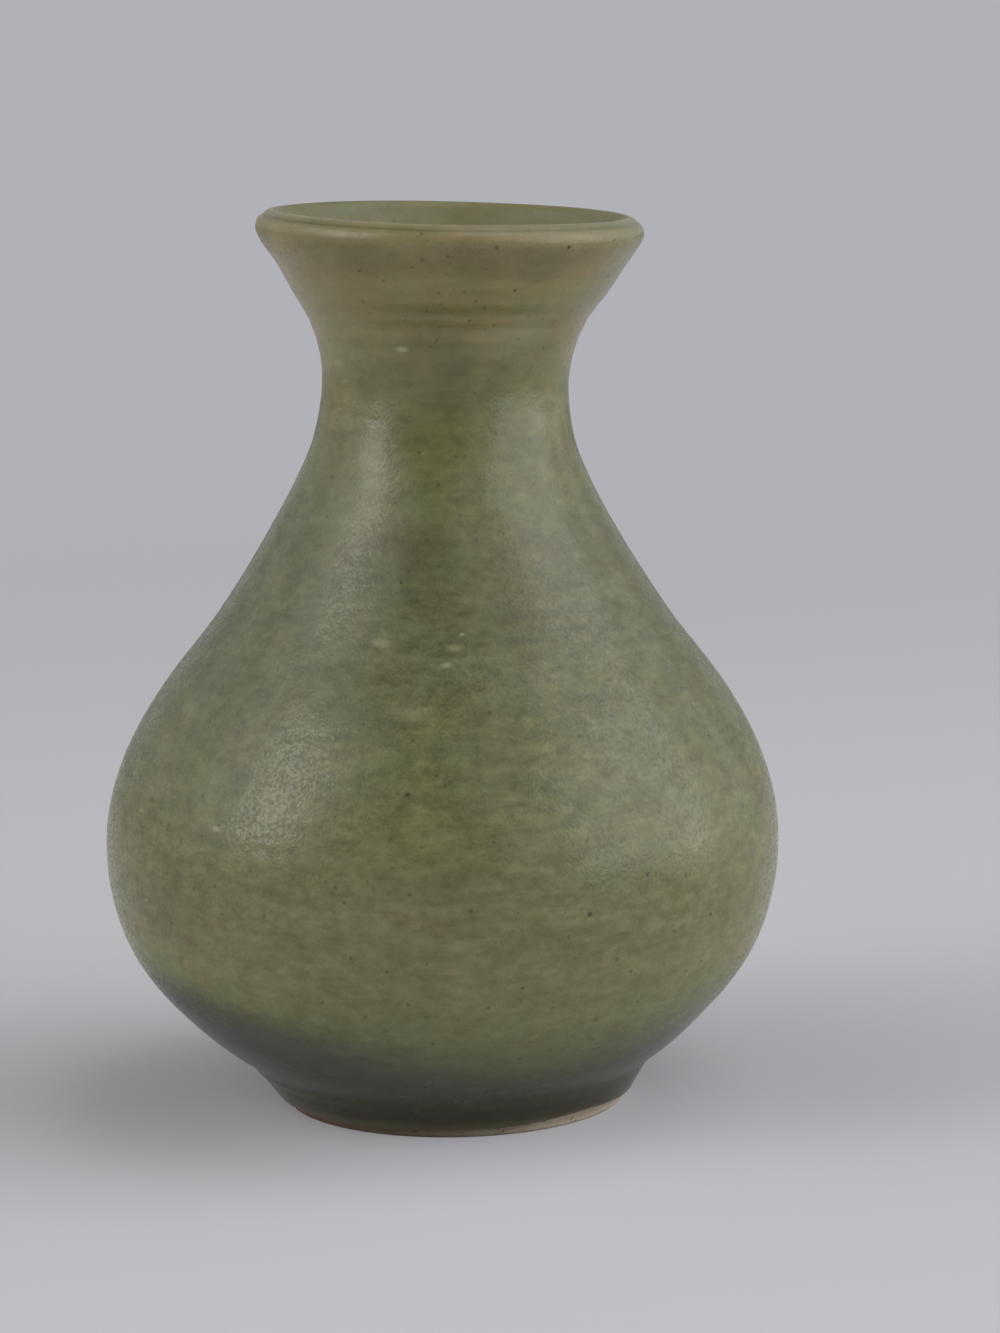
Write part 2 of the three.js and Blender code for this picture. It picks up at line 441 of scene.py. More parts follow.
def skin(way, angle, lift):
    """Points of the pot: radius and height at a way along the outline, moved out by lift along the normal,
    turned to an angle round the axis, and leaned. In metres."""
    radius, height, out, up = OUTLINE.at(way)
    reach = radius + lift * out
    turned = np.stack([reach * np.cos(angle), reach * np.sin(angle), height + lift * up], -1)
    return leaned(turned) * MM


def make_piece(name, points, closed, nodes, material, depths=None):
    """A mesh from a grid of points: rows follow the outline and columns go round the pot. A closed grid
    joins its last row to its first. An open one starts and ends on the axis, with a point and a fan at each
    end. Depths, one for each point, go into an attribute that the glaze reads."""
    rows, columns = points.shape[:2]
    grid = np.arange(rows * columns).reshape(rows, columns)
    after = np.roll(grid, -1, 1)
    if closed:
        below, above = grid, np.roll(grid, -1, 0)
        next_below, next_above = after, np.roll(after, -1, 0)
        quads = np.stack([below, next_below, next_above, above], -1).reshape(-1, 4)
        vertices = points.reshape(-1, 3)
        faces = quads.tolist()
        values = None if depths is None else depths.reshape(-1)
    else:
        start, end = 0, 1
        inner = points[1:-1].reshape(-1, 3)
        grid = 2 + np.arange(len(inner)).reshape(rows - 2, columns)
        after = np.roll(grid, -1, 1)
        quads = np.stack([grid[:-1], after[:-1], after[1:], grid[1:]], -1).reshape(-1, 4)
        first = np.stack([np.full(columns, start), after[0], grid[0]], -1)
        last = np.stack([np.full(columns, end), grid[-1], after[-1]], -1)
        vertices = np.concatenate([points[0, :1], points[-1, :1], inner])
        faces = quads.tolist() + first.tolist() + last.tolist()
        values = None
        if depths is not None:
            values = np.concatenate([depths[0, :1], depths[-1, :1], depths[1:-1].reshape(-1)])
    mesh = bpy.data.meshes.new(name)
    mesh.from_pydata(vertices.tolist(), [], faces)
    if values is not None:
        attribute = mesh.attributes.new("glaze_depth", "FLOAT", "POINT")
        attribute.data.foreach_set("value", values.astype(np.float32))
    mesh.shade_smooth()
    mesh.set_sharp_from_angle(angle=SHARP_ANGLE)
    mesh.materials.append(material)
    piece = bpy.data.objects.new(name, mesh)
    bpy.context.scene.collection.objects.link(piece)
    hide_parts(*nodes)
    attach(piece, "root")
    return piece


ANGLES = np.linspace(0, 2 * math.pi, TURN_STEPS, endpoint=False)[None, :]

# Way above the glaze line over which the relief comes in, and how a relief in millimetres changes the depth
# that the glaze is coloured by.
RELIEF_START = 1.5
PLAIN_DEPTH = 0.5
DEPTH_PER_MM = 3


def hidden_outside():
    """Ways from the glaze line to the crest for faces that nobody sees: clay and coat share them."""
    share = np.linspace(0, 1, HIDDEN_STEPS)[:, None]
    start = glaze_line(ANGLES)
    return start + (CREST - start) * share


def hidden_inside():
    """Ways from the crest to the floor's middle for faces that nobody sees: clay and liner share them."""
    share = np.linspace(0, 1, HIDDEN_STEPS)[:, None]
    return CREST + (FLOOR_MIDDLE - CREST) * share + 0 * ANGLES


def make_clay(material):
    """The thrown clay: its bare foot and underside finely cut, the rest under the coats coarsely. Rows fall
    on the corners of the underside, and the last rows before the glaze follow its wandering line."""
    corners = [0.0] + [OUTLINE.ends[name] for name in UNDERSIDE_STEPS]
    stretches = [
        np.linspace(start, end, steps, endpoint=False)
        for start, end, steps in zip(corners, corners[1:], UNDERSIDE_STEPS.values())
    ]
    bare = np.concatenate(stretches)[:, None] + 0 * ANGLES
    share = np.linspace(0, 1, LINE_STEPS, endpoint=False)[:, None]
    last = EDGE_END + (glaze_line(ANGLES) - EDGE_END) * share
    way = np.concatenate([bare, last, hidden_outside(), hidden_inside()[1:]])
    points = skin(way, ANGLES, swell(way, ANGLES))
    return make_piece("thrown_stoneware", points, False, ["stoneware_body"], material)


def glaze_depth(relief):
    """Depth that colours the glaze: plain where there is no relief, less on a ridge, more in a hollow."""
    return PLAIN_DEPTH - relief * DEPTH_PER_MM


def make_outer_coat(material):
    """The glaze outside: close rows at its line, even ones over the walls, then back down along the clay to
    the row above the line, where the ring closes. The relief is eased in above the line, and the rounded rim
    counts as thin, by an eased share."""
    start = glaze_line(ANGLES)
    near = start + np.linspace(0, LINE_BAND, EDGE_STEPS)[:, None]
    share = np.linspace(0, 1, OUTER_STEPS)[:, None]
    far = near[-1:] + (CREST - near[-1:]) * share
    way = np.concatenate([near[:-1], far])
    height = OUTLINE.at(way)[1]
    forms = throwing_lines(way, ANGLES) + finger_rings(height, ANGLES)
    forms = forms + lip_groove(way, ANGLES) + foot_ridge(way, ANGLES)
    relief = forms * ease((way - start) / RELIEF_START)
    lift = BOND_GAP + swell(way, ANGLES) + outer_thickness(way, ANGLES) + relief
    back = hidden_outside()[:0:-1]
    outside = skin(way, ANGLES, lift)
    inside = skin(back, ANGLES, BOND_GAP + swell(back, ANGLES))
    rim = PLAIN_DEPTH * ease(1 - (way - start) / LINE_BAND)
    depths = np.concatenate([glaze_depth(relief) - rim, glaze_depth(0 * back)])
    points = np.concatenate([outside, inside])
    return make_piece(
        "celadon_glaze_coat", points, True, ["outer_glaze"], material, depths
    )


def make_liner_coat(material):
    """The poured glaze inside: up along the clay from the floor's middle, then down again on its face."""
    up = hidden_inside()[::-1]
    share = np.linspace(0, 1, LINER_STEPS)[:, None] ** LINER_STEP_POWER
    way = CREST + (FLOOR_MIDDLE - CREST) * share + 0 * ANGLES
    relief = throwing_lines(way, ANGLES)
    lift = BOND_GAP + swell(way, ANGLES) + liner_thickness(way) + relief
    under = skin(up, ANGLES, BOND_GAP + swell(up, ANGLES))
    over = skin(way, ANGLES, lift)
    depths = np.concatenate([glaze_depth(0 * up), glaze_depth(relief)])
    points = np.concatenate([under, over])
    return make_piece(
        "liner_glaze_coat", points, False, ["liner_glaze"], material, depths
    )


def linear(code):
    """Colour for a shader from an sRGB hex code: each channel by the sRGB curve, with full opacity."""
    channels = [int(code[i : i + 2], 16) / 255 for i in (1, 3, 5)]
    return (*(c / 12.92 if c <= 0.04045 else ((c + 0.055) / 1.055) ** 2.4 for c in channels), 1)


def add(tree, kind, inputs=None, **settings):
    """Adds a node. Settings are its properties, and inputs maps a socket to a value or to another's output.
    On a Mix node of colours, socket 0 is the share, 6 and 7 are the colours, and output 2 is the result."""
    made = tree.nodes.new("ShaderNode" + kind)
    for name, value in settings.items():
        setattr(made, name, value)
    for socket, value in (inputs or {}).items():
        if isinstance(value, bpy.types.NodeSocket):
            tree.links.new(value, made.inputs[socket])
        else:
            made.inputs[socket].default_value = value
    return made


# Settings of a Mix node that multiplies one colour by another.
MULTIPLIED = {"data_type": "RGBA", "blend_type": "MULTIPLY"}


def set_stops(ramp, stops):
    """Fills a colour ramp from pairs of position and hex code."""
    elements = ramp.color_ramp.elements
    while len(elements) < len(stops):
        elements.new(1)
    for element, (position, code) in zip(elements, stops):
        element.position = position
        element.color = linear(code)


def new_material(name):
    """An empty material, its node tree and its place pattern in millimetres on Object coordinates."""
    material = bpy.data.materials.new(name)
    material.use_nodes = True
    tree = material.node_tree
    tree.nodes.clear()
    coordinates = add(tree, "TexCoord")
    place = add(tree, "Mapping", {"Vector": coordinates.outputs["Object"], "Scale": (1 / MM,) * 3})
    return material, tree, place.outputs["Vector"]


def finish_material(tree, settings):
    """Closes a material with its Principled shader, whose constants stand on its own sockets."""
    shader = add(tree, "BsdfPrincipled", settings)
    add(tree, "OutputMaterial", {"Surface": shader.outputs["BSDF"]})


# Height of each glaze tint as a share of the pot's height, from the foot to the lip.
OUTER_TINTS = [
    (0.000, "#6a6450"),
    (0.014, "#615f48"),
    (0.023, "#464334"),
    (0.032, "#3e4333"),
    (0.048, "#484f3c"),
    (0.058, "#4a523f"),
    (0.080, "#545d46"),
    (0.100, "#656c4d"),
    (0.125, "#757853"),
    (0.150, "#7e8059"),
    (0.192, "#807f5a"),
    (0.233, "#7c7b5a"),
    (0.283, "#777654"),
    (0.333, "#70704d"),
    (0.383, "#696945"),
    (0.433, "#636440"),
    (0.533, "#5e603f"),
    (0.633, "#5d5d3c"),
    (0.683, "#636541"),
    (0.750, "#686840"),
    (0.790, "#6a6944"),
    (0.817, "#74734f"),
    (0.850, "#7e7a58"),
    (0.883, "#89825d"),
    (0.917, "#8d865f"),
    (0.950, "#8d835c"),
    (1.000, "#7d7552"),
]
LINER_TINTS = [
    (0.00, "#4d5241"),
    (0.60, "#5d6049"),
    (0.90, "#616342"),
    (1.00, "#726f4d"),
]

# Painted shade: the dark of the notch is painted further up the lower bowl on its two sides, where it faces
# the
# shadowed floor: least at this place across, in millimetres, and most by this share of the height. Where it
# climbs, tints are read no lower than at a set share of the height. The fade says at which share of the
# height the climb comes in and goes out.
PAINTED_SHADE_MIDDLE = 10
PAINTED_SHADE_CLIMB = 0.145
PAINTED_SHADE_LOWEST = 0.034
PAINTED_SHADE_FADE = [(0.055, "#000000"), (0.08, "#ffffff"), (0.12, "#ffffff"), (0.25, "#000000")]

# What a noise seldom leaves: patterns are stretched from this range.
NOISE_RANGE = {"From Min": 0.3, "From Max": 0.7}

# A slow drift, in millimetres, moves the tints up and down by a share of their height.
DRIFT_SIZE = 16
DRIFT_RANGE = {**NOISE_RANGE, "To Min": 0.95, "To Max": 1.05}

# Clouds of the glaze, in millimetres: greener here and browner there.
CLOUD_SIZE = 7
CLOUD_TINTS = [(0.36, "#f3f9f2"), (0.5, "#f9f9f6"), (0.64, "#fdf6ef")]

# Tone patterns of the glaze: size round the pot and up it in millimetres, detail, how rough that is, and how
# far the darkest and lightest spots go.
TONES = [
    (16, 3, 3, 0.5, 0.07),
    (4, 1.9, 3, 0.6, 0.22),
    (14, 0.7, 3, 0.6, 0.08),
    (1.6, 1.2, 2, 0.6, 0.17),
]
# Blue swings further than red and green, so that light and dark spots differ by an even grey.
BLUE_SWING = 1.33
# Tones are strongest on the belly and calmer towards the foot and the mouth, by share of the height.
CALM = [(0.1, "#bcbcbc"), (0.4, "#ffffff"), (0.6, "#ffffff"), (0.75, "#dddddd"), (0.9, "#9c9c9c")]

# Colours of iron that bled through, of the thin rounded rim, of a darker grey-green patch over the lip's
# right side and of ash.
IRON = "#2d2619"
RIM = "#726f56"
LIP_GREY_GREEN = "#5f6a56"
ASH = "#a8a580"

# Tint by depth: the clay warms the glaze where it is thin on a ridge, and thick glaze is deeper. The range
# is how thin the coat gets at its rim, and how much of the rim's colour shows.
DEPTH_TINTS = [(0.2, "#fff6e4"), (0.5, "#f4f4f0"), (0.8, "#e3e8df"), (1.0, "#bfc5b5")]
RIM_RANGE = {"From Min": 0.05, "From Max": 0.3, "To Min": 0.75, "To Max": 0}

# Pale flecks where ash gathered, longer round the pot than up it, in millimetres.
FLECK_ACROSS = 2.4
FLECK_UP = 1.3
FLECK_RANGE = {"From Min": 0.66, "From Max": 0.82, "To Min": 0, "To Max": 0.3}

# Iron specks, in millimetres: spacing, radius, share of the places that have one, strength. Real ones start
# at a fifth of a millimetre, too fine to show, so they are drawn from half a millimetre across.
SPECKS = [
    (1.6, 0.24, 0.5, 0.4),
    (2.6, 0.38, 0.7, 0.55),
]

# Satin: the glass cooled into glossy and matt crystals. Real ones are under a tenth of a millimetre, and are
# drawn at this size so that they show as sparkle in the highlights. Their share goes by height.
SATIN_SIZE = 0.5
SATIN_RANGE = {"From Min": 0.44, "From Max": 0.56}
SATIN_SHARE = [(0.1, "#000000"), (0.2, "#ffffff"), (0.55, "#ffffff"), (0.68, "#aaaaaa"), (0.8, "#888888")]
# The coat is thin over the lip and fired drier there: roughness added by height.
DRY_RANGE = {"From Min": 0.955, "From Max": 0.985, "To Min": 0, "To Max": 0.1}

# Skin of the glaze: fine grains over an orange peel, in millimetres.
GRAIN_SIZE = 0.4
PEEL_SIZE = 1.3

# Roughness of matt and glossy crystals and where there are none, and depths of the skin in millimetres.
OUTER_FINISH = {"matt": 0.42, "gloss": 0.1, "plain": 0.2, "grain_depth": 0.036, "peel_depth": 0.04}
LINER_FINISH = {"matt": 0.5, "gloss": 0.25, "plain": 0.35, "grain_depth": 0.04, "peel_depth": 0.03}
GLAZE_IOR = 1.45

# Marks set where they show: angle round the pot in degrees from the front, height, radius, strength, colour.
# Pale ones are drawn out round the pot by the flattening. A dark one has a wider core before it fades.
FLATTENING = 2.2
IRON_CORE = 0.45
SOFT_CORE = 0.2
MARK_FADE = 1.3
MARKS = [
    # The next two wide marks are partly the glaze's tone and partly painted light: the dark one is painted
    # shade low on the flare's front, and the pale one a painted reflection on the flare's right front.
    (-6, 101.5, 5.5, 0.2, IRON),
    (28, 105.5, 6.5, 0.2, ASH),
    (47, 39.5, 8, 0.08, ASH),
    (-54, 33.5, 7, 0.1, IRON),
    (-7, 76.5, 6, 0.09, IRON),
    (80, 118, 12, 0.45, LIP_GREY_GREEN),
    (36, 117.7, 0.3, 0.85, IRON),
    (-30, 114, 0.26, 0.6, IRON),
    (-12, 114.8, 0.24, 0.5, IRON),
    (22, 112, 0.26, 0.6, IRON),
    (-8, 109, 0.22, 0.5, IRON),
    (18, 107, 0.22, 0.5, IRON),
    (-62, 104, 0.22, 0.5, IRON),
    (46, 103.5, 0.24, 0.55, IRON),
    (-20, 103.5, 1.0, 0.65, ASH),
    (-11, 90, 0.24, 0.6, IRON),
    (9, 89.5, 0.2, 0.5, IRON),
    (20, 87, 0.2, 0.5, IRON),
    (11, 79, 0.24, 0.55, IRON),
    (-1, 76, 0.22, 0.5, IRON),
    (5, 68, 0.4, 0.45, ASH),
    (-15, 67, 1.5, 0.26, ASH),
    (3, 66.5, 1.3, 0.28, ASH),
    (1, 64.5, 0.8, 0.38, ASH),
    (-6, 59, 3, 0.15, ASH),
    (-39, 50, 0.26, 0.6, IRON),
    (-6, 49.5, 0.32, 0.85, IRON),
    (-41, 44, 0.8, 0.45, ASH),
    (-63, 44, 0.7, 0.4, ASH),
    (35, 38, 0.28, 0.7, IRON),
    (-40, 37, 0.24, 0.6, IRON),
    (-16, 36.5, 0.24, 0.6, IRON),
    (24, 34, 0.34, 0.8, IRON),
    (-59, 33, 0.6, 0.4, ASH),
    (50, 31, 0.3, 0.75, IRON),
    (33, 25.5, 0.25, 0.7, IRON),
    (13, 25, 0.22, 0.7, IRON),
]


def tint_place(tree, place, across, level):
    """Share of the height that the tints are read at: the level less the climb of the painted shade, which
    is its most climb times the fade and times the square, at most 1, of the way from its middle across over
    the belly's radius. It is held above its lowest level, or the level where that is lower, and stretched by
    the drift."""
    side = add(tree, "Math", {0: across, 1: PAINTED_SHADE_MIDDLE}, operation="SUBTRACT").outputs["Value"]
    wide = add(tree, "Math", {0: side, 1: 1 / BELLY_RADIUS}, operation="MULTIPLY").outputs["Value"]
    square = add(tree, "Math", {0: wide, 1: 2}, operation="POWER", use_clamp=True).outputs["Value"]
    fade = add(tree, "ValToRGB", {"Fac": level})
    set_stops(fade, PAINTED_SHADE_FADE)
    climb = add(tree, "Math", {0: square, 1: fade.outputs["Color"]}, operation="MULTIPLY").outputs["Value"]
    sunk = add(tree, "Math", {0: climb, 1: -PAINTED_SHADE_CLIMB, 2: level}, operation="MULTIPLY_ADD").outputs["Value"]
    lowest = add(tree, "Math", {0: level, 1: PAINTED_SHADE_LOWEST}, operation="MINIMUM").outputs["Value"]
    painted_shade_level = add(tree, "Math", {0: sunk, 1: lowest}, operation="MAXIMUM").outputs["Value"]
    drift = add(tree, "TexNoise", {"Vector": place, "Scale": 1 / DRIFT_SIZE, "Detail": 2})
    stretch = add(tree, "MapRange", {"Value": drift.outputs["Fac"], **DRIFT_RANGE}).outputs["Result"]
    moved = add(tree, "Math", {0: painted_shade_level, 1: stretch}, operation="MULTIPLY", use_clamp=True)
    return moved.outputs["Value"]


def clouded(tree, place, colour):
    """The colour times a cloud's tint, from a noise."""
    cloud = add(tree, "TexNoise", {"Vector": place, "Scale": 1 / CLOUD_SIZE, "Detail": 4, "Roughness": 0.7})
    tint = add(tree, "ValToRGB", {"Fac": cloud.outputs["Fac"]})
    set_stops(tint, CLOUD_TINTS)
    return add(tree, "Mix", {0: 1.0, 6: colour, 7: tint.outputs["Color"]}, **MULTIPLIED).outputs[2]


def mottled(tree, place, level, colour):
    """The colour times each tone's shade in turn: soft bands round the pot, then mottling from bubbles and
    unmelted grains. A shade is one less or plus the swing, by a noise, and calm gives its share."""
    calm = add(tree, "ValToRGB", {"Fac": level})
    set_stops(calm, CALM)
    for across, up, detail, rough, swing in TONES:
        spread = add(tree, "Mapping", {"Vector": place, "Scale": (1 / across, 1 / across, 1 / up)})
        spots = {"Vector": spread.outputs["Vector"], "Scale": 1, "Detail": detail, "Roughness": rough}
        tone = add(tree, "TexNoise", spots)
        lightness = add(tree, "MapRange", {"Value": tone.outputs["Fac"], **NOISE_RANGE})
        dark = (1 - swing, 1 - swing, 1 - BLUE_SWING * swing, 1)
        light = (1 + swing, 1 + swing, 1 + BLUE_SWING * swing, 1)
        shade = add(tree, "Mix", {0: lightness.outputs["Result"], 6: dark, 7: light}, data_type="RGBA")
        factors = {0: calm.outputs["Color"], 6: colour, 7: shade.outputs[2]}
        colour = add(tree, "Mix", factors, **MULTIPLIED).outputs[2]
    return colour


def flecked(tree, place, colour):
    """The colour mixed with ash where a noise, drawn out round the pot, is high."""
    sizes = (1 / FLECK_ACROSS, 1 / FLECK_ACROSS, 1 / FLECK_UP)
    spread = add(tree, "Mapping", {"Vector": place, "Scale": sizes})
    spots = {"Vector": spread.outputs["Vector"], "Scale": 1, "Detail": 4, "Roughness": 0.7}
    fleck = add(tree, "TexNoise", spots)
    share = add(tree, "MapRange", {"Value": fleck.outputs["Fac"], **FLECK_RANGE})
    mixed = add(tree, "Mix", {0: share.outputs["Result"], 6: colour, 7: linear(ASH)}, data_type="RGBA")
    return mixed.outputs[2]


def tinted_by_depth(tree, colour):
    """The colour times the tint of the coat's depth, and the rim's own colour where the coat ends."""
    depth = add(tree, "Attribute", attribute_name="glaze_depth").outputs["Fac"]
    tint = add(tree, "ValToRGB", {"Fac": depth})
    set_stops(tint, DEPTH_TINTS)
    tinted = add(tree, "Mix", {0: 1.0, 6: colour, 7: tint.outputs["Color"]}, **MULTIPLIED)
    thin = add(tree, "MapRange", {"Value": depth, **RIM_RANGE}).outputs["Result"]
    return add(tree, "Mix", {0: thin, 6: tinted.outputs[2], 7: linear(RIM)}, data_type="RGBA").outputs[2]


def spot(distance, core, edge, strength):
    """Values for a Map Range node: a spot's strength up to its core, and nothing from its edge on."""
    return {"Value": distance, "From Min": core, "From Max": edge, "To Min": strength, "To Max": 0}


def specked(tree, place, colour):
    """The colour mixed with iron near the middles of random cells: of each size, some cells have a speck."""
    for spacing, radius, chance, strength in SPECKS:
        cells = add(tree, "TexVoronoi", {"Vector": place, "Scale": 1 / spacing, "Randomness": 1})
        faded = spot(cells.outputs["Distance"], SOFT_CORE * radius / spacing, radius / spacing, strength)
        dot = add(tree, "MapRange", faded, interpolation_type="SMOOTHSTEP")
        chosen = add(tree, "Math", {0: cells.outputs["Color"], 1: chance}, operation="LESS_THAN")
        both = {0: dot.outputs["Result"], 1: chosen.outputs["Value"]}
        share = add(tree, "Math", both, operation="MULTIPLY")
        mixed = add(tree, "Mix", {0: share.outputs["Value"], 6: colour, 7: linear(IRON)}, data_type="RGBA")
        colour = mixed.outputs[2]
    return colour


def mark_place(degrees, height):
    """Point on the outside of the pot, in millimetres: the way along the outside that has the height, turned
    to the angle."""
    outside = (OUTLINE.way > EDGE_END) & (OUTLINE.way < CREST)
    way = np.interp(height, OUTLINE.points[outside, 1], OUTLINE.way[outside])
    angle = math.radians(degrees) - math.pi / 2
    lift = BOND_GAP + OUTER_COAT + swell(way, angle)
    return tuple(skin(np.array(way), np.array(angle), lift) / MM)


def marked(tree, place, marks, colour):
    """The colour mixed with each mark's, by the distance from the mark's middle. For ash, upright distances
    count more, so that its marks are drawn out round the pot."""
    flattened = add(tree, "VectorMath", {0: place, 1: (1, 1, FLATTENING)}, operation="MULTIPLY")
    for degrees, height, radius, strength, code in marks:
        middle = mark_place(degrees, height)
        grid = place
        if code == ASH:
            middle = (middle[0], middle[1], middle[2] * FLATTENING)
            grid = flattened.outputs["Vector"]
        away = add(tree, "VectorMath", {0: grid, 1: middle}, operation="DISTANCE")
        core = IRON_CORE if code == IRON else SOFT_CORE
        faded = spot(away.outputs["Value"], core * radius, MARK_FADE * radius, strength)
        share = add(tree, "MapRange", faded, interpolation_type="SMOOTHSTEP")
        mixed = add(tree, "Mix", {0: share.outputs["Result"], 6: colour, 7: linear(code)}, data_type="RGBA")
        colour = mixed.outputs[2]
    return colour


def satin_roughness(tree, place, level, finish):
    """Roughness: matt or glossy by a noise, mixed with the plain one by height, and drier at the lip."""
    satin = add(tree, "TexNoise", {"Vector": place, "Scale": 1 / SATIN_SIZE, "Detail": 3})
    ends = {"To Min": finish["matt"], "To Max": finish["gloss"]}
    crystals = add(tree, "MapRange", {"Value": satin.outputs["Fac"], **SATIN_RANGE, **ends})
    share = add(tree, "ValToRGB", {"Fac": level})
    set_stops(share, SATIN_SHARE)
    kinds = {"Factor": share.outputs["Color"], 2: finish["plain"], 3: crystals.outputs["Result"]}
    sheen = add(tree, "Mix", kinds)
    dry = add(tree, "MapRange", {"Value": level, **DRY_RANGE})
    dull = add(tree, "Math", {0: sheen.outputs[0], 1: dry.outputs["Result"]}, operation="ADD")
    return dull.outputs["Value"]


def orange_peel(tree, place, finish):
    """Normal of the skin: a bump of coarse noise on one of fine noise, each as deep as the finish says."""
    grain = add(tree, "TexNoise", {"Vector": place, "Scale": 1 / GRAIN_SIZE, "Detail": 2})
    peel = add(tree, "TexNoise", {"Vector": place, "Scale": 1 / PEEL_SIZE, "Detail": 2})
    grains = {"Height": grain.outputs["Fac"], "Strength": 1.0, "Distance": finish["grain_depth"] * MM}
    fine = add(tree, "Bump", grains)
    dimples = {"Height": peel.outputs["Fac"], "Strength": 1.0, "Distance": finish["peel_depth"] * MM}
    coarse = add(tree, "Bump", {**dimples, "Normal": fine.outputs["Normal"]})
    return coarse.outputs["Normal"]


def glaze(name, tints, marks, finish):
    """A celadon-type stoneware glaze, fired satin: a green glass, tinted by height as it ran, clouded and
    streaked round the pot, with iron specks from the clay. Its crystals give a soft sheen that sparkles, and
    its orange-peel skin blurs the lamps."""
    material, tree, place = new_material(name)
    axis = add(tree, "SeparateXYZ", {"Vector": place})
    level = add(tree, "MapRange", {"Value": axis.outputs["Z"], "From Min": 0, "From Max": HEIGHT})
    level = level.outputs["Result"]
    ramp = add(tree, "ValToRGB", {"Fac": tint_place(tree, place, axis.outputs["X"], level)})
    set_stops(ramp, tints)
    colour = clouded(tree, place, ramp.outputs["Color"])
    colour = mottled(tree, place, level, colour)
    colour = flecked(tree, place, colour)
    colour = tinted_by_depth(tree, colour)
    colour = specked(tree, place, colour)
    colour = marked(tree, place, marks, colour)
    finish_material(
        tree,
        {
            "Base Color": colour,
            "Roughness": satin_roughness(tree, place, level, finish),
            "Normal": orange_peel(tree, place, finish),
            "IOR": GLAZE_IOR,
        },
    )
    return material


# Bare clay, in millimetres: drift of its colour, sand and grog. Colours go from the left to the right:
# reddish to paler tan, partly the clay's own colour and partly painted shade on the left and painted light
# on the right.
CLAY_ROUGHNESS = 0.88
CLAY_IOR = 1.45
CLAY_DRIFT = 0.5
CLAY_DRIFT_SIZE = 5
SAND_SIZE = 0.35
SAND_DEPTH = 0.06
SAND_RANGE = {**NOISE_RANGE, "To Min": 0.8, "To Max": 1.15}
GROG_SPACING = 1.4
GROG_RANGE = {"From Min": 0.1, "From Max": 0.2, "To Min": 0.6, "To Max": 0}
CLAY_TINTS_AND_PAINTED_LIGHT = [(0.35, "#785444"), (0.6, "#766c56"), (0.8, "#897d68"), (1.0, "#ab9f8c")]
GROG = "#4a3524"


def bare_clay():
    """Toasted stoneware at the foot, turned and fired bare: matt, sandy with grog, reddish and darker on the
    left and paler tan on the right, partly its own colour and partly painted shade and light. The tint is
    read at the place across plus CLAY_DRIFT times a noise, and sand varies it."""
    material, tree, place = new_material("bare_toasted_stoneware")
    across = add(tree, "SeparateXYZ", {"Vector": place}).outputs["X"]
    drift = add(tree, "TexNoise", {"Vector": place, "Scale": 1 / CLAY_DRIFT_SIZE, "Detail": 3})
    side = add(tree, "MapRange", {"Value": across, "From Min": -FOOT_RADIUS, "From Max": FOOT_RADIUS})
    terms = {0: drift.outputs["Fac"], 1: CLAY_DRIFT, 2: side.outputs["Result"]}
    drifted = add(tree, "Math", terms, operation="MULTIPLY_ADD")
    ramp = add(tree, "ValToRGB", {"Fac": drifted.outputs["Value"]})
    set_stops(ramp, CLAY_TINTS_AND_PAINTED_LIGHT)
    sand = add(tree, "TexNoise", {"Vector": place, "Scale": 1 / SAND_SIZE, "Detail": 4, "Roughness": 0.7})
    lightness = add(tree, "MapRange", {"Value": sand.outputs["Fac"], **SAND_RANGE})
    factors = {0: 1.0, 6: ramp.outputs["Color"], 7: lightness.outputs["Result"]}
    sandy = add(tree, "Mix", factors, **MULTIPLIED)
    grains = add(tree, "TexVoronoi", {"Vector": place, "Scale": 1 / GROG_SPACING})
    grog = add(tree, "MapRange", {"Value": grains.outputs["Distance"], **GROG_RANGE}).outputs["Result"]
    colour = add(tree, "Mix", {0: grog, 6: sandy.outputs[2], 7: linear(GROG)}, data_type="RGBA")
    rough = add(tree, "Bump", {"Height": sand.outputs["Fac"], "Strength": 1.0, "Distance": SAND_DEPTH * MM})
    finish_material(
        tree,
        {
            "Base Color": colour.outputs[2],
            "Roughness": CLAY_ROUGHNESS,
            "Normal": rough.outputs["Normal"],
            "IOR": CLAY_IOR,
        },
    )
    return material


make_clay(bare_clay())
make_outer_coat(glaze("outer_satin_celadon", OUTER_TINTS, MARKS, OUTER_FINISH))
make_liner_coat(glaze("liner_celadon", LINER_TINTS, [], LINER_FINISH))

# Studio: a pale floor that turns into the backdrop far off, lamps, and the light that the room gives back.
BACKDROP = "#b1b2b7"
FLOOR = "#bcbbc1"
ROOM = "#8f8f8f"
FLOOR_RADIUS_M = 3.0
FLOOR_RINGS = 24
FLOOR_SPOKES = 96
FADE_RANGE_M = {"From Min": 0.2, "From Max": 0.7}
# The floor in front of the foot is seen a little lighter, in place of light that the room sends in under the
# belly: its colour, its middle, and its share by how many metres off it is.
LIT_FLOOR = "#c4c3c9"
LIFT_PLACE_M = (0.01, -0.025, 0)
LIFT_RANGE_M = {"From Min": 0, "From Max": 0.06, "To Min": 0.42, "To Max": 0}


def seen_rays(tree):
    """1 for rays that look: from the camera, off gloss or through glass. 0 for light that scatters."""
    path = add(tree, "LightPath").outputs
    looks = add(tree, "Math", {0: path["Is Camera Ray"], 1: path["Is Glossy Ray"]}, operation="MAXIMUM")
    either = {0: looks.outputs["Value"], 1: path["Is Transmission Ray"]}
    return add(tree, "Math", either, operation="MAXIMUM").outputs["Value"]


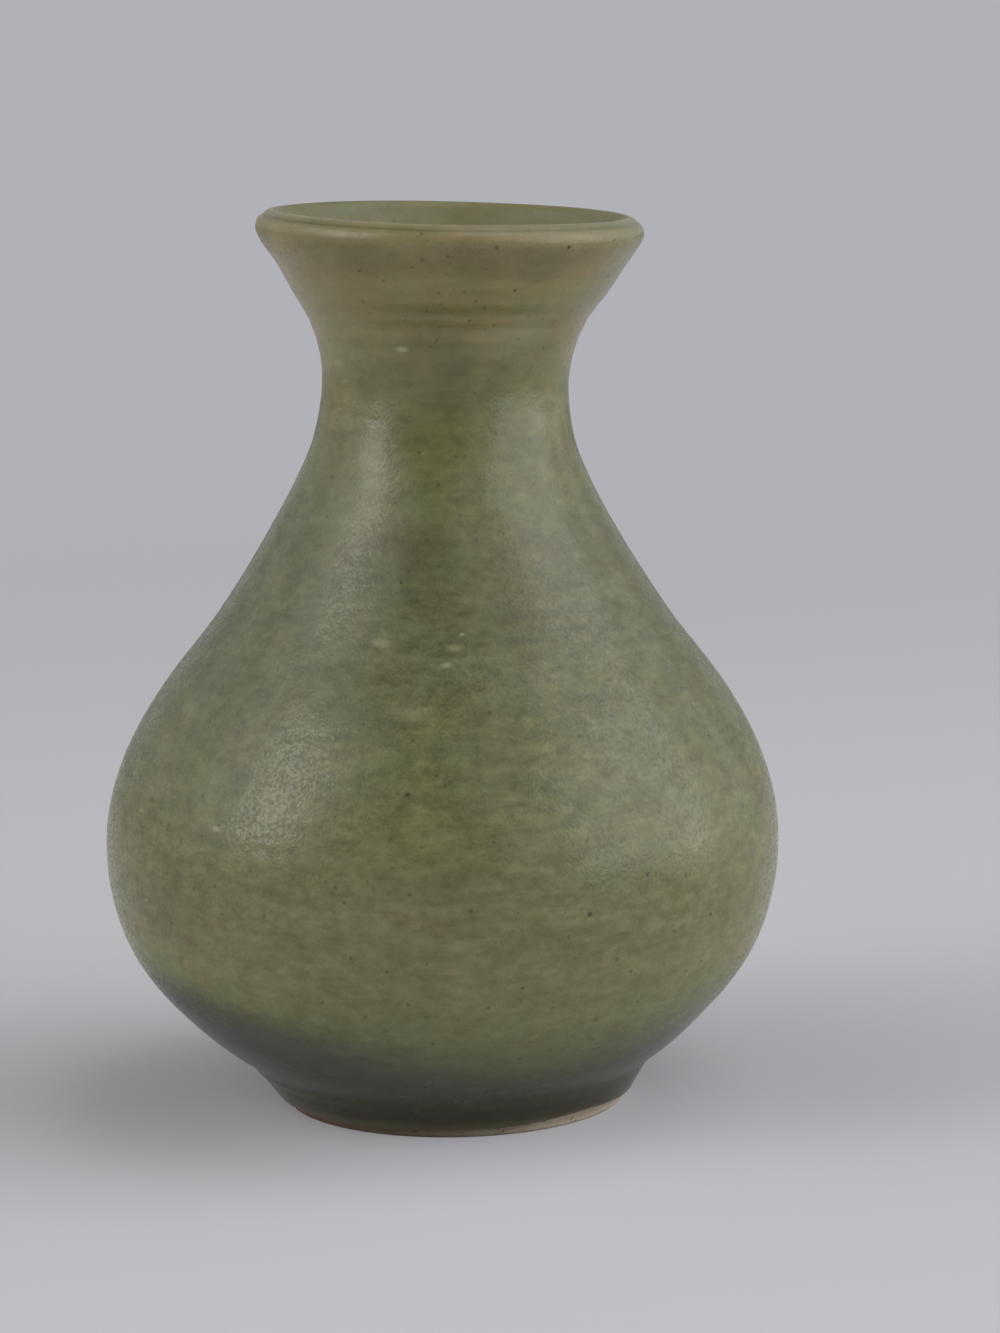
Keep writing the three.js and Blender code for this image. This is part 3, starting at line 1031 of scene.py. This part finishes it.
def studio_card():
    """Pale matt card, which catches a soft shadow. The camera sees a lighter patch in front of the foot, and
    the backdrop's colour far off: the shares are smooth steps of a distance, times 1 for camera rays."""
    material = bpy.data.materials.new("pale_studio_card")
    material.use_nodes = True
    tree = material.node_tree
    tree.nodes.clear()
    place = add(tree, "TexCoord").outputs["Object"]
    camera_ray = add(tree, "LightPath").outputs["Is Camera Ray"]
    near = add(tree, "VectorMath", {0: place, 1: LIFT_PLACE_M}, operation="DISTANCE")
    reach = {"Value": near.outputs["Value"], **LIFT_RANGE_M}
    lift = add(tree, "MapRange", reach, interpolation_type="SMOOTHSTEP")
    lift_share = add(tree, "Math", {0: lift.outputs["Result"], 1: camera_ray}, operation="MULTIPLY")
    far = add(tree, "VectorMath", {0: place}, operation="LENGTH")
    fading = {"Value": far.outputs["Value"], **FADE_RANGE_M}
    fade = add(tree, "MapRange", fading, interpolation_type="SMOOTHSTEP")
    fade_share = add(tree, "Math", {0: fade.outputs["Result"], 1: camera_ray}, operation="MULTIPLY")
    card = add(tree, "BsdfDiffuse", {"Color": linear(FLOOR)})
    lit = add(tree, "Emission", {"Color": linear(LIT_FLOOR)})
    lifted = add(
        tree,
        "MixShader",
        {0: lift_share.outputs["Value"], 1: card.outputs["BSDF"], 2: lit.outputs["Emission"]},
    )
    backdrop = add(tree, "Emission", {"Color": linear(BACKDROP)})
    mixed = add(
        tree,
        "MixShader",
        {0: fade_share.outputs["Value"], 1: lifted.outputs["Shader"], 2: backdrop.outputs["Emission"]},
    )
    add(tree, "OutputMaterial", {"Surface": mixed.outputs["Shader"]})
    return material


def make_floor(material):
    """A flat disc: rings of points by radius and angle, and a fan round its middle."""
    radii = np.linspace(0, FLOOR_RADIUS_M, FLOOR_RINGS + 1)[1:, None]
    angles = np.linspace(0, 2 * math.pi, FLOOR_SPOKES, endpoint=False)[None, :]
    rings = np.stack([radii * np.cos(angles), radii * np.sin(angles), 0 * radii * angles], -1)
    vertices = np.concatenate([np.zeros((1, 3)), rings.reshape(-1, 3)])
    grid = 1 + np.arange(FLOOR_RINGS * FLOOR_SPOKES).reshape(FLOOR_RINGS, FLOOR_SPOKES)
    after = np.roll(grid, -1, 1)
    quads = np.stack([grid[:-1], grid[1:], after[1:], after[:-1]], -1).reshape(-1, 4)
    fan = np.stack([0 * grid[0], grid[0], after[0]], -1)
    mesh = bpy.data.meshes.new("studio_floor")
    mesh.from_pydata(vertices.tolist(), [], quads.tolist() + fan.tolist())
    mesh.materials.append(material)
    floor = bpy.data.objects.new("studio_floor", mesh)
    bpy.context.scene.collection.objects.link(floor)


def make_world():
    """The backdrop where a ray looks, and the dim light of the room where light scatters."""
    world = bpy.data.worlds.new("studio")
    world.use_nodes = True
    tree = world.node_tree
    tree.nodes.clear()
    room = add(tree, "Background", {"Color": linear(ROOM), "Strength": 1.0})
    backdrop = add(tree, "Background", {"Color": linear(BACKDROP), "Strength": 1.0})
    mixed = add(
        tree,
        "MixShader",
        {0: seen_rays(tree), 1: room.outputs["Background"], 2: backdrop.outputs["Background"]},
    )
    add(tree, "OutputWorld", {"Surface": mixed.outputs["Shader"]})
    bpy.context.scene.world = world


# Middle of the pot, which the lamps face, and how far off they stand.
AIM = Vector((0, 0, 0.06))
LAMP_DISTANCE_M = 1.2


def make_lamp(name, azimuth, elevation, width, height, radiance, code="#ffffff"):
    """A soft box facing the pot, its sizes in metres. Azimuth goes from the front to the right and elevation
    up, in degrees. Its power is pi times its area times the radiance that its face has."""
    lamp = bpy.data.lights.new(name, "AREA")
    lamp.shape = "RECTANGLE"
    lamp.size, lamp.size_y = width, height
    lamp.energy = math.pi * width * height * radiance
    lamp.color = linear(code)[:3]
    flat, lift = math.radians(azimuth), math.radians(elevation)
    away = Vector((math.sin(flat) * math.cos(lift), -math.cos(flat) * math.cos(lift), math.sin(lift)))
    placed = bpy.data.objects.new(name, lamp)
    placed.rotation_euler = away.to_track_quat("Z", "Y").to_euler()
    placed.location = AIM + LAMP_DISTANCE_M * away
    placed.visible_camera = False
    bpy.context.scene.collection.objects.link(placed)


# The photograph's view: what the camera circles, how far off and how high it stands, and how it then turns
# sideways, up and round its own line of sight. It sees what stands between the last two distances.
SIGHT_HEIGHT_M = 0.060
SIGHT_DISTANCE_M = 0.612764
SIGHT_LIFT = math.radians(9.367)
SIGHT_PAN = math.radians(0.758)
SIGHT_TILT = math.radians(-0.089)
SIGHT_ROLL = math.radians(-1.0)
LENS = 123.15
SENSOR_WIDTH = 36
SEEN_FROM_M = 0.01
SEEN_TO_M = 20


def make_camera():
    """The photograph's view, nearly level and from about five heights away: each turn mixes two of the
    camera's three directions by the cosine and the sine of its angle."""
    lift, pan, tilt, roll = SIGHT_LIFT, SIGHT_PAN, SIGHT_TILT, SIGHT_ROLL
    back = Vector((0, -math.cos(lift), math.sin(lift)))
    ahead = -back
    right = Vector((1, 0, 0))
    up = right.cross(ahead)
    panned = math.cos(pan) * ahead + math.sin(pan) * right
    right = math.cos(pan) * right - math.sin(pan) * ahead
    tilted = math.cos(tilt) * panned + math.sin(tilt) * up
    up = math.cos(tilt) * up - math.sin(tilt) * panned
    rolled_right = math.cos(roll) * right + math.sin(roll) * up
    rolled_up = math.cos(roll) * up - math.sin(roll) * right
    place = Vector((0, 0, SIGHT_HEIGHT_M)) + SIGHT_DISTANCE_M * back
    camera = bpy.data.cameras.new("camera")
    camera.lens = LENS
    camera.sensor_width = SENSOR_WIDTH
    camera.sensor_fit = "AUTO"
    camera.clip_start = SEEN_FROM_M
    camera.clip_end = SEEN_TO_M
    placed = bpy.data.objects.new("camera", camera)
    turned = Matrix((rolled_right, rolled_up, -tilted)).transposed()
    placed.matrix_world = Matrix.Translation(place) @ turned.to_4x4()
    bpy.context.scene.collection.objects.link(placed)
    bpy.context.scene.camera = placed


make_floor(studio_card())
make_world()
make_lamp("left_window", -66, 28, 0.48, 0.8, 2.65, "#fffbf2")
make_lamp("left_curtain", -68, 36, 0.9, 0.9, 0.5)
make_lamp("left_curtain_edge", -68, 32, 1.3, 1.3, 0.58)
make_lamp("left_wall", -75, 28.5, 1.22, 1.59, 0.23)
make_lamp("left_back_wall", -112.5, 27.5, 0.88, 0.85, 0.45)
make_lamp("right_window", 75, 21, 1.29, 1.17, 1.63)
make_lamp("right_wall", 48, 28.5, 1.22, 1.59, 0.63)
make_lamp("right_back_wall", 105, 28.5, 1.22, 1.59, 0.69)
make_lamp("right_ceiling", 90, 71, 0.7, 0.7, 1.6)
make_camera()
bpy.context.scene.view_settings.view_transform = "Standard"

bpy.context.view_layer.update()
